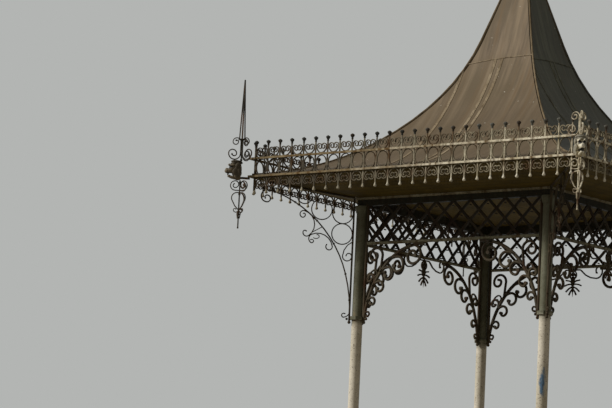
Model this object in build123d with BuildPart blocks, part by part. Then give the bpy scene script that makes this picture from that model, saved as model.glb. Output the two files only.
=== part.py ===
from build123d import *
from math import atan2, cos, degrees, radians, sin, sqrt
import os

os.makedirs("parts", exist_ok=True)

# Levels above the ground. The deck is the top of the plinth, and the rail level is the middle of
# the cresting's lower rail, which all the ironwork above the columns hangs from.
deck = 450
rail_level = deck + 4250

# Plan: half sides measured from the middle of the bandstand
post_half = 1491
bay = 200
bays = 25

# Plinth
plinth_half = 1850
coping = 100
coping_lip = 45
coping_round = 20

# Columns
shaft_r = 73
base_plate = 300
base_plate_t = 30
base_r = 118
base_h = 150
base_taper_h = 110
cap_plate_t = 25
cap_r = 92
cap_h = 70
shaft_step = 3
collar_h = 46

# Beams: below the rail level
beam_top = rail_level - 190
beam_h = 115
beam_w = 90
beam_under = beam_top - beam_h

# Ironwork bars: widths seen from the front, depths from front to back
upright_bar = 24
upright_gap = 25
band = 20
scroll_bar = 14
scroll_depth = 26
fit = 0.3

# Lattice friezes
frieze_drop = 525
frieze_bar = 28
lattice_bar = 18
lattice_depth = 20
lattice_bays = 10

# Arch brackets under the friezes. The band leans at its foot and bends more above its knee. Every
# scroll is a run of bends (radius, turn in degrees), and starts where the band has a heading.
arch_lean = 84
arch_low_r = 1280
arch_knee = 50
arch_high_r = 840
arch_tail = 38
end_scroll_at = 14
end_scroll = [(125, -190), (90, -170), (50, -160)]
arch_curls = {42: 100, 54: 84, 64: 70, 74: 50}
curl_bends = [(1.9, -50), (1, -170), (0.6, -160)]
spandrel_at = 54
spandrel_scroll = [(620, 22), (102, 180), (60, 260)]
small_spandrel_at = 62
small_spandrel = [(170, 25), (58, 180), (34, 180)]

# Middle pendants
pendant_drop = 400
stem = 16
broken_share = 0.2
pendant_scroll = [(62, -180), (44, -180), (26, -120)]
leaf_w = 150
leaf_fall = 260
swag_out = 110
swag_fall = 50
swag = [(320, 55), (95, 110), (50, 200)]

# Eaves brackets under the corners
eaves_lean = 92
eaves_low_r = 2040
eaves_knee = 74
eaves_high_r = 1570
eaves_flat = 20
eaves_tail = [(400, -20), (80, -180), (45, -160)]
ring_r = 140
small_ring_r = 100
ring_fall = 111
ring_gap = 8
ring_lift = 38
tie_end = 3440
outer_scroll_at = 40.7
outer_scroll_from = (152, -19)
outer_scroll = [(48, 151), (188, 130), (49, 137), (25, 130)]
under_scroll_at = 54.8
under_scroll_from = (228, -50)
under_scroll = [(26, 134), (63, 121), (201, 107), (44, 229)]
strut_at = 48
inner_scroll_fall = 488
inner_scroll = [(231, -62), (62, -192), (38, -164)]
foot_scroll_at = 87
foot_scroll = [(95, 100), (27, 227)]

# Eaves, roof and cresting. The roof line leaves the eave at a low slope, bends up twice and ends straight.
paling = 16
rail = 26
finial_rise = 483
drop_fall = 243
upper_rail_rise = 241
paling_inset = 91
lining = 20
roof_t = 28
roof_top_rise = 3262
roof_top_half = 70
eave_slope = 8.5
low_roof_r = 2273
low_roof_turn = 28.5
high_roof_r = 3162
high_roof_turn = 36.5
hip_w = 40
hip_rise = 35
hip_depth = 90
hip_steps = 12
finial_bands = [(130, 25), (130, 45), (45, 120), (45, 75), (90, 75), (45, 310)]
finial_tip = 4

# Corner standards: out along the diagonal
standard_out = 117
rod = 22
rod_low = rail_level - 731
spike_plate = rail_level + 500
spike_plate_w = 93
spike_plate_t = 10
spike_h = 814
spike_bar = 14
spike_foot = 36
arm = 30
arm_grip = 30
top_scroll_from = (122, 447)
top_scroll = [(354, 22), (107, 162), (31, 196)]
ring_scroll_fall = 249
ring_scroll = [(76, 180), (58, 180), (34, 120)]
lyre_fall = 255
lyre = [(95, -90), (220, -50), (70, -40), (26, -200)]

# Animal heads: the hub of each standard
head_low = rail_level - 60
head_h = 250
head_reach = 212
head_w = 130
jaw_h = 80
mouth_in = 90
brow_h = 160
brow_back = 60

# Worked out from the sizes above
upright_in = shaft_r + upright_gap
upright_mid = upright_in + upright_bar / 2
frieze_bottom = rail_level - 305 - frieze_drop
frieze_half = post_half - upright_in - upright_bar
arch_rise = arch_low_r * (cos(radians(arch_knee)) - cos(radians(arch_lean)))
arch_rise += arch_high_r * (1 - cos(radians(arch_knee)))
arch_spring = frieze_bottom - band / 2 - arch_rise
arch_foot = arch_spring - arch_tail
paling_line = bay * bays / 2 + paling_inset
rail_in = paling_line - rail / 2
rail_out = rail_in + rail
eave_half = rail_in - paling
eave_low = rail_level - lining
column_top = beam_under
foot_collar = arch_foot + 20
post_t = post_half * sqrt(2)
rail_corner_t = rail_out * sqrt(2)
standard_t = paling_line * sqrt(2) + standard_out
eaves_foot = (post_t + upright_mid, arch_foot)
roof_crown = rail_level + roof_top_rise - roof_t / 2
arm_level = rail_level - rail / 2 - arm / 2

SIDES = {"front": 0, "right": 90, "back": 180, "left": 270}
CORNERS = {"front_left": 225, "front_right": 315, "back_right": 45, "back_left": 135}


def save(piece, name):
    """Label a finished piece and write it."""
    piece.part.label = name
    export_step(piece.part, f"parts/{name}.step")


def side_plane(angle, out=0.0):
    """Upright plane facing out of one side, x along the side and y up."""
    a = radians(angle)
    flat = Plane(origin=(0, 0, 0), x_dir=(cos(a), sin(a), 0), z_dir=(sin(a), -cos(a), 0))
    return flat.offset(out)


def level_plane(angle, height):
    """Level plane with x along one side and y towards the middle of the bandstand."""
    a = radians(angle)
    return Plane(origin=(0, 0, height), x_dir=(cos(a), sin(a), 0), z_dir=(0, 0, 1))


def corner_plane(angle):
    """Upright plane along one diagonal, x outwards and y up."""
    a = radians(angle)
    return Plane(origin=(0, 0, 0), x_dir=(cos(a), sin(a), 0), z_dir=(sin(a), -cos(a), 0))


def step_on(point, heading, length):
    """The point reached from another along a heading in degrees."""
    return (point[0] + length * cos(radians(heading)), point[1] + length * sin(radians(heading)))


def scroll(start, heading, bends, size=1.0, step=45):
    """Points of a bar that leaves a start along a heading and goes through bends (radius, turn)."""
    points = [start]
    for radius, turn in bends:
        steps = max(1, round(abs(turn) / step))
        each = turn / steps
        for _ in range(steps):
            heading += each / 2
            points.append(step_on(points[-1], heading, 2 * size * radius * sin(radians(abs(each) / 2))))
            heading += each / 2
    return points


def on_band(foot, lean, low_r, knee, high_r, heading):
    """Point where a band has a heading: it leans at its foot, and its radius changes at the knee."""
    x, y = foot
    start = lean
    for radius, end in ((low_r, max(heading, knee)), (high_r, min(heading, knee))):
        x += radius * (sin(radians(start)) - sin(radians(end)))
        y += radius * (cos(radians(end)) - cos(radians(start)))
        start = end
        if heading >= knee:
            break
    return (x, y)


def arch_at(heading):
    """Point of an arch band, from the column's axis out and up."""
    return on_band((upright_mid, arch_spring), arch_lean, arch_low_r, arch_knee, arch_high_r, heading)


def eaves_at(heading):
    """Point of an eaves bracket's band, out along the diagonal and up."""
    return on_band(eaves_foot, eaves_lean, eaves_low_r, eaves_knee, eaves_high_r, heading)


def headings(start, end, count):
    """Headings spread evenly between two, both included."""
    return [start + (end - start) * i / count for i in range(count + 1)]


def bar_along(points, width):
    """Flat bar bent along a run of points, drawn in the sketch that is open."""
    with BuildLine(mode=Mode.PRIVATE) as run:
        Polyline(*points)
    trace(run.line, line_width=width)


# Plinth and coping
with BuildPart() as plinth:
    with BuildSketch():
        Rectangle(2 * plinth_half, 2 * plinth_half)
    extrude(amount=deck - coping)
save(plinth, "plinth")

with BuildPart() as coping_slab:
    with BuildSketch(Plane.XY.offset(deck - coping)):
        Rectangle(2 * (plinth_half + coping_lip), 2 * (plinth_half + coping_lip))
    extrude(amount=coping)
    chamfer(coping_slab.faces().sort_by(Axis.Z)[-1].edges(), length=coping_round)
save(coping_slab, "coping_slab")

def octagon(radius):
    """Eight-sided outline with flats towards the sides and the corners, in the open sketch."""
    RegularPolygon(radius, 8, major_radius=False, rotation=22.5)


def bands(x, y, level, steps, last):
    """Eight-sided bands on top of each other, each from its own radius to the next one's."""
    ends = [radius for radius, _ in steps[1:]] + [last]
    for (radius, height), end in zip(steps, ends):
        with BuildSketch(Plane(origin=(x, y, level))) as foot:
            octagon(radius)
        extrude(foot.sketch, amount=height, taper=degrees(atan2(radius - end, height)))
        level += height


# Columns: a round shaft with an eight-sided pedestal, collar and cap
for corner, angle in CORNERS.items():
    x, y = step_on((0, 0), angle, post_t)
    with BuildPart() as column:
        with BuildSketch(Plane(origin=(x, y, deck))):
            Circle(shaft_r)
        extrude(amount=column_top - deck)
        with BuildSketch(Plane(origin=(x, y, deck))):
            Rectangle(base_plate, base_plate)
        extrude(amount=base_plate_t)
        pedestal = [(base_r, base_h - base_plate_t), (base_r, base_taper_h)]
        bands(x, y, deck + base_plate_t, pedestal, shaft_r + shaft_step)
        collar = [(upright_in - fit, collar_h)]
        bands(x, y, foot_collar, collar, upright_in - fit)
        cap = [(shaft_r + shaft_step, cap_h), (cap_r, cap_plate_t)]
        bands(x, y, column_top - cap_plate_t - cap_h, cap, cap_r)
    save(column, f"{corner}_column")

# Beams
for side, angle in SIDES.items():
    inner, outer = post_half - beam_w / 2, post_half + beam_w / 2
    with BuildPart() as beam:
        with BuildSketch(level_plane(angle, beam_under)):
            Polygon((-outer, -outer), (outer, -outer), (inner, -inner), (-inner, -inner), align=None)
        extrude(amount=beam_h)
    save(beam, f"{side}_beam")

# Lattice friezes
for side, angle in SIDES.items():
    pitch = 2 * frieze_half / lattice_bays
    height = beam_under - frieze_bottom
    middle = (beam_under + frieze_bottom) / 2
    with BuildPart() as frieze:
        with BuildSketch(side_plane(angle, post_half)):
            for i in range(-lattice_bays // 2 - 2, lattice_bays // 2 + 3):
                with Locations((i * pitch, middle)):
                    Rectangle(lattice_bar, 4 * height, rotation=45)
                    Rectangle(lattice_bar, 4 * height, rotation=-45)
            with Locations((0, middle)):
                Rectangle(2 * frieze_half, height, mode=Mode.INTERSECT)
            with Locations((0, frieze_bottom + frieze_bar / 2)):
                Rectangle(2 * frieze_half, frieze_bar)
        extrude(amount=lattice_depth / 2, both=True)
    save(frieze, f"{side}_frieze")


def arch_half(side_of):
    """One arch bracket in the open sketch; side_of is 1 or -1 for the right or left column."""
    def place(points):
        return [(side_of * (post_half - u), z) for u, z in points]

    bar_along(place([(upright_mid, arch_foot), (upright_mid, beam_under)]), upright_bar)
    bar_along(place([arch_at(h) for h in headings(arch_lean, 0, 7)]), band)
    bar_along(place(scroll(arch_at(end_scroll_at), end_scroll_at, end_scroll)), scroll_bar)
    for heading, size in arch_curls.items():
        bar_along(place(scroll(arch_at(heading), heading, curl_bends, size, 60)), scroll_bar)
    bar_along(place(scroll(arch_at(spandrel_at), 72, spandrel_scroll)), scroll_bar)
    bar_along(place(scroll(arch_at(small_spandrel_at), 70, small_spandrel, 1, 60)), scroll_bar)


# Arch brackets
for side, angle in SIDES.items():
    with BuildPart() as arch:
        with BuildSketch(side_plane(angle, post_half)):
            arch_half(1)
            arch_half(-1)
        extrude(amount=scroll_depth / 2, both=True)
    save(arch, f"{side}_arch")

# Middle pendants: a pair of scrolls and swags, and a stem with leaves, but only the stem in front
with BuildPart() as pendants:
    for side, angle in SIDES.items():
        with BuildSketch(side_plane(angle, post_half)):
            whole = side != "front"
            length = pendant_drop if whole else pendant_drop * broken_share
            with Locations((0, frieze_bottom - length / 2)):
                Rectangle(stem, length)
            if whole:
                eye = frieze_bottom - pendant_scroll[0][0] / 2
                top = frieze_bottom - swag_fall
                for way in (1, -1):
                    curled = scroll((0, eye), 0, pendant_scroll, 1, 60)
                    hung = [(0, top)] + scroll((swag_out, top), -55, swag, 1, 60)
                    leaf = [(0, frieze_bottom - pendant_drop / 2), (leaf_w, frieze_bottom - leaf_fall)]
                    for run in (curled, hung, leaf):
                        bar_along([(way * x, z) for x, z in run], scroll_bar)
        extrude(amount=scroll_depth / 2, both=True)
save(pendants, "pendants")


def lining_under(t):
    """Height of the eaves lining's underside on the diagonal, t out from the middle."""
    inner, outer = post_half + beam_w / 2, eave_half
    return beam_top + (eave_low - beam_top) * (t / sqrt(2) - inner) / (outer - inner)


# Eaves brackets
for corner, angle in CORNERS.items():
    foot_t = eaves_foot[0]
    bar_drop = upright_bar / 2 + fit

    def hang(t):
        return (t, lining_under(t) - bar_drop)

    arc = [eaves_at(h) for h in headings(eaves_lean, eaves_flat, 8)]
    low_ring = (foot_t + ring_r + band / 2, beam_under - ring_fall - 2 * ring_r)
    outer_ring = (low_ring[0] + 2 * ring_r + ring_gap, beam_under - ring_fall + ring_lift)
    small_ring_t = outer_ring[0] + ring_r + small_ring_r
    small_ring = (small_ring_t, hang(small_ring_t)[1] - small_ring_r)
    rings = [(low_ring, ring_r), ((low_ring[0], low_ring[1] + 2 * ring_r), ring_r), (outer_ring, ring_r)]
    rings.append((small_ring, small_ring_r))
    with BuildPart() as bracket:
        with BuildSketch(corner_plane(angle)):
            for middle, radius in rings:
                with Locations(middle):
                    RegularPolygon(radius + scroll_bar / 2, 14)
                    RegularPolygon(radius - scroll_bar / 2, 14, mode=Mode.SUBTRACT)
            bar_along([eaves_foot, hang(foot_t)], upright_bar)
            bar_along([hang(foot_t), hang(tie_end)], upright_bar)
            bar_along(arc, band)
            bar_along(scroll(arc[-1], eaves_flat, eaves_tail), scroll_bar)
            bar_along([arc[-1], hang(arc[-1][0])], scroll_bar)
            for middle, radius in (rings[1], rings[2]):
                bar_along([(middle[0], middle[1] + radius), hang(middle[0])], scroll_bar)
            x, z = eaves_at(outer_scroll_at)
            outer = scroll((x + outer_scroll_from[0], z + outer_scroll_from[1]), 42, outer_scroll)
            bar_along(outer, scroll_bar)
            x, z = eaves_at(under_scroll_at)
            under = scroll((x + under_scroll_from[0], z + under_scroll_from[1]), 258, under_scroll)
            bar_along(under, scroll_bar)
            bar_along([eaves_at(strut_at), under[8]], scroll_bar)
            inner = scroll((foot_t, beam_under - inner_scroll_fall), -26, inner_scroll)
            bar_along(inner, scroll_bar)
            foot = scroll(eaves_at(foot_scroll_at), 249, foot_scroll)
            bar_along(foot, scroll_bar)
        extrude(amount=scroll_depth / 2, both=True)
    save(bracket, f"{corner}_eaves_bracket")

# Ceiling on the beams
ceiling_half = post_half + beam_w / 2
with BuildPart() as ceiling:
    with BuildSketch(Plane.XY.offset(beam_top)):
        Rectangle(2 * ceiling_half, 2 * ceiling_half)
    extrude(amount=lining)
save(ceiling, "ceiling")

def flared(lift):
    """Solid block with flared sides from the beams' top out to the eaves, lifted."""
    with BuildPart(mode=Mode.PRIVATE) as flare:
        for angle, mode in ((0, Mode.ADD), (90, Mode.INTERSECT)):
            half = [(ceiling_half, beam_top), (eave_half, eave_low), (eave_half, rail_level)]
            outline = half + [(-x, z) for x, z in reversed(half)]
            with BuildSketch(side_plane(angle)):
                Polygon(*((x, z + lift) for x, z in outline), align=None)
            extrude(amount=2 * eave_half, both=True, mode=mode)
    return flare.part


# Sloping lining from the beams to the eaves
with BuildPart() as eaves_lining:
    add(flared(0))
    add(flared(lining), mode=Mode.SUBTRACT)
    with BuildSketch(Plane.XY.offset(beam_top)):
        Rectangle(2 * ceiling_half, 2 * ceiling_half)
    extrude(amount=lining, mode=Mode.SUBTRACT)
save(eaves_lining, "eaves_lining")


def roof_point(rise, share):
    """Point of the roof line by its share of the bent part, with the slope of the roof there."""
    bend = low_roof_turn + high_roof_turn
    slope = eave_slope + min(share, 1) * bend
    knee = eave_slope + low_roof_turn
    x, z, start = eave_half, rail_level + rise, eave_slope
    for radius, end in ((low_roof_r, min(slope, knee)), (high_roof_r, max(slope, knee))):
        x -= radius * (sin(radians(end)) - sin(radians(start)))
        z += radius * (cos(radians(start)) - cos(radians(end)))
        start = end
        if slope <= knee:
            break
    return (x, z)


# Roof faces: each is one concave sheet on boards, cut back at the hips
knee_share = low_roof_turn / (low_roof_turn + high_roof_turn)
for side, angle in SIDES.items():
    with BuildPart() as roof:
        with BuildSketch(side_plane(angle - 90)):
            with BuildLine():
                for rise in (0, roof_t):
                    for start, end in ((0, knee_share), (knee_share, 1)):
                        ThreePointArc(*(roof_point(rise, s) for s in (start, (start + end) / 2, end)))
                    Line(roof_point(rise, 1), (roof_top_half, rail_level + roof_top_rise - roof_t + rise))
                Line(roof_point(0, 0), roof_point(roof_t, 0))
                Line((roof_top_half, rail_level + roof_top_rise - roof_t),
                     (roof_top_half, rail_level + roof_top_rise))
            make_face()
        extrude(amount=eave_half, both=True)
        with BuildSketch(level_plane(angle, rail_level)):
            cut = hip_w / 2 * sqrt(2)
            Polygon((-eave_half, -eave_half - cut), (eave_half, -eave_half - cut), (0, -cut), align=None)
        extrude(amount=roof_crown - rail_level, mode=Mode.INTERSECT)
    save(roof, f"{side}_roof")

# Hip rolls
hip_line = [roof_point(roof_t, i / hip_steps) for i in range(hip_steps + 1)]
hip_line.append((roof_top_half, rail_level + roof_top_rise))
hip_line = [(x * sqrt(2), z) for x, z in hip_line]
with BuildPart() as hip_rolls:
    for corner, angle in CORNERS.items():
        with BuildSketch(corner_plane(angle)):
            high = [(x, z + hip_rise) for x, z in hip_line]
            low = [(x, z + hip_rise - hip_depth) for x, z in reversed(hip_line)]
            Polygon(*high, *low, align=None)
        extrude(amount=hip_w / 2, both=True)
    with BuildSketch(Plane.XY.offset(rail_level)):
        Rectangle(2 * eave_half, 2 * eave_half)
    extrude(amount=roof_crown - rail_level, mode=Mode.INTERSECT)
save(hip_rolls, "hip_rolls")

# Roof finial
with BuildPart() as roof_finial:
    bands(0, 0, roof_crown, finial_bands, finial_tip)
save(roof_finial, "roof_finial")

# Cresting rails, mitred at the corners
for side, angle in SIDES.items():
    with BuildPart() as rails:
        for height in (0, upper_rail_rise):
            with BuildSketch(level_plane(angle, rail_level + height - rail / 2)):
                Polygon((-rail_out, -rail_out), (rail_out, -rail_out), (rail_in, -rail_in), (-rail_in, -rail_in),
                        align=None)
            extrude(amount=rail)
    save(rails, f"{side}_rails")

# Cresting palings, each one upright bar against the inner faces of the rails
for side, angle in SIDES.items():
    with BuildPart() as palings:
        with BuildSketch(side_plane(angle, eave_half)):
            with Locations((0, rail_level + (finial_rise - drop_fall) / 2)):
                with GridLocations(bay, 0, bays + 1, 1):
                    Rectangle(paling, finial_rise + drop_fall)
        extrude(amount=paling)
    save(palings, f"{side}_palings")

# Corner standards: a rod under the head, a stem over it with a spike, and the arm that holds them.
# Each has its scrolls three times: straight out, and back along both sides.
for corner, angle in CORNERS.items():
    back = standard_t - rod / 2
    x, y = step_on((0, 0), angle, standard_t)
    with BuildPart() as standard:
        with BuildSketch(corner_plane(angle)):
            bar_along([(standard_t, rod_low), (standard_t, head_low)], rod)
            bar_along([(standard_t, head_low + head_h), (standard_t, spike_plate)], rod)
            bar_along([(rail_corner_t - arm_grip, arm_level), (back, arm_level)], arm)
            if corner != "front_right":
                with Locations((standard_t, spike_plate - spike_plate_t / 2)):
                    Rectangle(spike_plate_w, spike_plate_t)
                for way in (1, -1):
                    spike = [(standard_t + way * spike_foot, spike_plate), (standard_t, spike_plate + spike_h)]
                    bar_along(spike, spike_bar)
        for turned in (0, 135, -135):
            a = radians(angle + turned)
            with BuildSketch(Plane(origin=(x, y, 0), x_dir=(cos(a), sin(a), 0), z_dir=(sin(a), -cos(a), 0))):
                top = (top_scroll_from[0], rail_level + top_scroll_from[1])
                bar_along(scroll(top, 212, top_scroll, 1, 60), scroll_bar)
                bar_along(scroll((0, rail_level - ring_scroll_fall), 0, ring_scroll, 1, 60), scroll_bar)
                bar_along(scroll((0, rail_level - lyre_fall), 0, lyre, 1, 60), scroll_bar)
        extrude(amount=rod / 2, both=True)
    save(standard, f"{corner}_standard")

# Animal heads, looking outwards with an open mouth
with BuildPart() as heads:
    for corner, angle in CORNERS.items():
        back = standard_t - rod / 2
        with BuildSketch(corner_plane(angle)):
            Polygon(
                (back, head_low),
                (back + 0.6 * head_reach, head_low),
                (back + 0.87 * head_reach, head_low + jaw_h / 2),
                (back + mouth_in, head_low + jaw_h),
                (back + head_reach, head_low + jaw_h),
                (back + 0.75 * head_reach, head_low + brow_h),
                (back + 0.75 * head_reach, head_low + brow_h + 40),
                (back + brow_back, head_low + head_h),
                (back, head_low + head_h),
                align=None,
            )
        extrude(amount=head_w / 2, both=True)
save(heads, "animal_heads")
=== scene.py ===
from math import atan2, cos, degrees, pi, radians, sin, sqrt

import bmesh
import bpy
from mathutils import Matrix, Vector


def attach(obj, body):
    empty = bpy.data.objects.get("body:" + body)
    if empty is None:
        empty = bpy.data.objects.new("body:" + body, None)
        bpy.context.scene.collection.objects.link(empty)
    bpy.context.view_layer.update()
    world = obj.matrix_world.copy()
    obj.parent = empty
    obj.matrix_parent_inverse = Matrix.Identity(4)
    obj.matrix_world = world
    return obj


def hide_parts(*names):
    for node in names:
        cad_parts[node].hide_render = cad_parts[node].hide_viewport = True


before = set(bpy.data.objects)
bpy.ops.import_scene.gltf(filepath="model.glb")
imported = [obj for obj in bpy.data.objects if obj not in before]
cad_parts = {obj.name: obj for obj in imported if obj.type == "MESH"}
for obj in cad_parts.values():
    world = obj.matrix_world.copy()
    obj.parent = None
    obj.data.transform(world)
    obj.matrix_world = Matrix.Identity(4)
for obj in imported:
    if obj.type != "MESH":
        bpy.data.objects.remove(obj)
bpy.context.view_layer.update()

# ---- Sizes, in millimetres as in the part's source. Heights are above the ground.
RAIL = 4700
BAY, BAYS = 200, 25
POST_HALF = 1491
POST_T = POST_HALF * sqrt(2)
PALING_LINE = 2591
STANDARD_T = PALING_LINE * sqrt(2) + 117
EAVE_HALF = 2562
EAVE_LOW = RAIL - 20
BEAM_TOP = RAIL - 190
BEAM_UNDER = BEAM_TOP - 115
BEAM_W = 90
BEAM_OUT = POST_HALF + BEAM_W / 2
FRIEZE_BOTTOM = RAIL - 830
FRIEZE_HALF = 1369
UPRIGHT_MID = 110
UPRIGHT_BAR = 24
BAND = 20
SCROLL_W, SCROLL_D = 14, 26
FIT = 0.3
# A band leans at its foot and has a larger radius below its knee than above it.
ARCH = dict(lean=84, low_r=1280, knee=50, high_r=840)
EAVES = dict(lean=92, low_r=2040, knee=74, high_r=1570)
EAVES_FLAT = 20
# The roof rises from the eave in two arcs, given as radius and turn, and a straight.
ROOF_EDGE = RAIL + 28
ROOF_LEAN = 8.5
ROOF_LINE = [(2273, -28.5), (3162, -36.5), (1210, None)]

# Turns about the upright axis, in degrees, from the front's frame or from +X
SIDES = {"front": 0, "right": 90, "back": 180, "left": 270}
CORNERS = {"front_left": 225, "front_right": 315, "back_right": 45, "back_left": 135}
NEAR = "front_right"


# ---- Materials
# The last of these colours is painted shade for the recesses of the animal heads.
GRIME, RUST_SPECK, HOLLOW_SHADE = "#3d3423", "#4a3422", "#15120c"
PAINT_FLAKE = "#a59b8a"
# Level of specular on surfaces that have weathered chalky
CHALKY = 0.12
# Smear on the near column: its middle in metres and the scale that makes it a tall oval
SMEAR_BLUE = "#5a7389"
SMEAR_AT, SMEAR_SCALE = (1.531, -1.552, 2.0), (13.0, 13.0, 3.6)
# Stained boards, and the damp and dust on stone
BOARD, OTHER_BOARD, BLOTCH, FIBRE, BOARD_JOINT = "#6b5826", "#58481b", "#3f3212", "#50421a", "#191408"
DAMP_STONE, STONE_PIT = "#6f685a", "#5c564a"


def linear(hex_colour):
    """sRGB hex colour as linear values."""
    parts = [int(hex_colour[i:i + 2], 16) / 255 for i in (1, 3, 5)]
    return [c / 12.92 if c <= 0.04045 else ((c + 0.055) / 1.055) ** 2.4 for c in parts] + [1.0]


def node(tree, kind, feeds=None, **settings):
    """Add a shader node with its settings, and feed its inputs from sockets or plain values."""
    made = tree.nodes.new("ShaderNode" + kind)
    for name, value in settings.items():
        setattr(made, name, value)
    for name, value in (feeds or {}).items():
        if isinstance(value, bpy.types.NodeSocket):
            tree.links.new(value, made.inputs[name])
        else:
            made.inputs[name].default_value = value
    return made


def new_material(name):
    """Empty material with its tree, principled shader and object coordinates."""
    made = bpy.data.materials.new(name)
    made.use_nodes = True
    tree = made.node_tree
    shader = tree.nodes["Principled BSDF"]
    place = node(tree, "TexCoord").outputs["Object"]
    return made, tree, shader, place


def spotted(tree, place, size_mm, low, high, detail=4.0, stretch=(1, 1, 1), rough=0.55):
    """Noise with features of a real size, as a mask that opens between two levels."""
    scaled = node(tree, "Mapping", {"Vector": place, "Scale": [1000 / size_mm / s for s in stretch]})
    noise = node(tree, "TexNoise", {"Vector": scaled.outputs["Vector"], "Scale": 1.0, "Detail": detail,
                                    "Roughness": rough})
    ramp = node(tree, "MapRange", {"Value": noise.outputs["Fac"], "From Min": low, "From Max": high})
    return ramp.outputs["Result"]


def coats(tree, ground, *layers):
    """Colour of coats laid over a ground. Each (mask, colour) covers what is under it where the mask
    opens."""
    for mask, colour in layers:
        ground = node(tree, "Mix", {"Factor": mask, 6: ground, 7: colour}, data_type="RGBA").outputs[2]
    return ground


def painted_iron(name, paint, faded, rust, rust_low, rust_high, rough=0.62, sound_paint_or_shade=None, smeared=False,
                 mottle=0.5, shade_mark=None):
    """Old oil paint on wrought and cast iron: chalky, faded in patches, with rust bleeding through in
    spots and runs between two levels of the noise. It is dull where it has chalked and a little glossier
    where the paint is whole. A second coat, two colours, takes over along a direction, between two
    distances in metres: whole paint on some pieces, painted shade on others. Painted shade darkens the
    places that an attribute marks."""
    made, tree, shader, place = new_material(name)
    colour = coats(tree, linear(paint), (spotted(tree, place, 420, 0.42, 0.62), linear(faded)))
    # The second coat is whole paint on some materials and painted shade on others.
    if sound_paint_or_shade:
        light, dark, way, start, end = sound_paint_or_shade
        run = node(tree, "VectorMath", {0: place, 1: way}, operation="DOT_PRODUCT").outputs["Value"]
        uneven = spotted(tree, place, 160, 0.35, 0.65)
        ragged = node(tree, "Math", {0: uneven, 1: 0.5 * abs(end - start), 2: run},
                      operation="MULTIPLY_ADD")
        share = node(tree, "MapRange", {"Value": ragged.outputs[0], "From Min": start, "From Max": end})
        second_coat = coats(tree, linear(light), (spotted(tree, place, 240, 0.45, 0.68), linear(dark)))
        colour = coats(tree, colour, (share.outputs["Result"], second_coat))
    if smeared:
        moved = [-a * b for a, b in zip(SMEAR_AT, SMEAR_SCALE)]
        off = node(tree, "Mapping", {"Vector": place, "Location": moved, "Scale": SMEAR_SCALE})
        far = node(tree, "VectorMath", {0: off.outputs[0]}, operation="LENGTH").outputs["Value"]
        broken = spotted(tree, place, 60, 0.3, 0.7, 4.0, (1, 1, 2))
        ragged = node(tree, "Math", {0: broken, 1: 0.9, 2: far}, operation="MULTIPLY_ADD")
        smear = node(tree, "MapRange", {"Value": ragged.outputs[0], "From Min": 1.15, "From Max": 0.75})
        colour = coats(tree, colour, (smear.outputs["Result"], linear(SMEAR_BLUE)))
    mottled = spotted(tree, place, 34, 0.50, 0.66, 3.0)
    part = node(tree, "Math", {0: mottled, 1: mottle}, operation="MULTIPLY").outputs[0]
    runs = spotted(tree, place, 90, rust_low, rust_high, 5.0, (1, 1, 3.5))
    specks = spotted(tree, place, 14, 0.60, 0.68, 3.0)
    colour = coats(tree, colour, (part, linear(GRIME)), (runs, linear(rust)),
                   (specks, linear(RUST_SPECK)))
    # Painted shade in the recesses that an attribute marks.
    if shade_mark:
        sunk = node(tree, "Attribute", attribute_name=shade_mark).outputs["Fac"]
        colour = coats(tree, colour, (sunk, linear(HOLLOW_SHADE)))
    tree.links.new(colour, shader.inputs["Base Color"])
    shader.inputs["Specular IOR Level"].default_value = CHALKY
    dull = node(tree, "MapRange", {"Value": runs, "To Min": rough, "To Max": 0.86})
    tree.links.new(dull.outputs["Result"], shader.inputs["Roughness"])
    grain = spotted(tree, place, 6, 0.3, 0.7, 3.0)
    bump = node(tree, "Bump", {"Height": grain, "Strength": 0.25, "Distance": 0.0012})
    tree.links.new(bump.outputs["Normal"], shader.inputs["Normal"])
    return made


def roof_sheet(name, across, pale, ground, dull, bright, rusty):
    """Sheet metal in old brown-grey paint. Rain has left pale and dark runs down the slope, so the
    pattern is long up the roof and short along the eave. It is darker low down, where the slope is flat."""
    made, tree, shader, place = new_material(name)
    stretch = (1, 14, 14) if across == "x" else (14, 1, 14)
    runs = spotted(tree, place, 45, 0.35, 0.68, 5.0, stretch, 0.65)
    patches = spotted(tree, place, 900, 0.40, 0.62, 3.0)
    wide = spotted(tree, place, 210, 0.52, 0.72, 3.0, stretch)
    flakes = spotted(tree, place, 60, 0.735, 0.76, 2.0)
    height = node(tree, "SeparateXYZ", {"Vector": place}).outputs["Z"]
    low = node(tree, "MapRange", {"Value": height, "From Min": 6.3, "From Max": 5.3, "To Max": 0.7})
    brown = spotted(tree, place, 120, 0.52, 0.72, 5.0, stretch, 0.65)
    colour = coats(tree, linear(pale), (runs, linear(ground)), (patches, linear(dull)),
                   (wide, linear(bright)), (brown, linear(rusty)), (low.outputs["Result"], linear(ground)),
                   (flakes, linear(PAINT_FLAKE)))
    tree.links.new(colour, shader.inputs["Base Color"])
    shader.inputs["Roughness"].default_value = 0.72
    shader.inputs["Specular IOR Level"].default_value = 0.3
    dents = spotted(tree, place, 260, 0.3, 0.7, 2.0)
    bump = node(tree, "Bump", {"Height": dents, "Strength": 0.35, "Distance": 0.006})
    tree.links.new(bump.outputs["Normal"], shader.inputs["Normal"])
    return made


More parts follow.
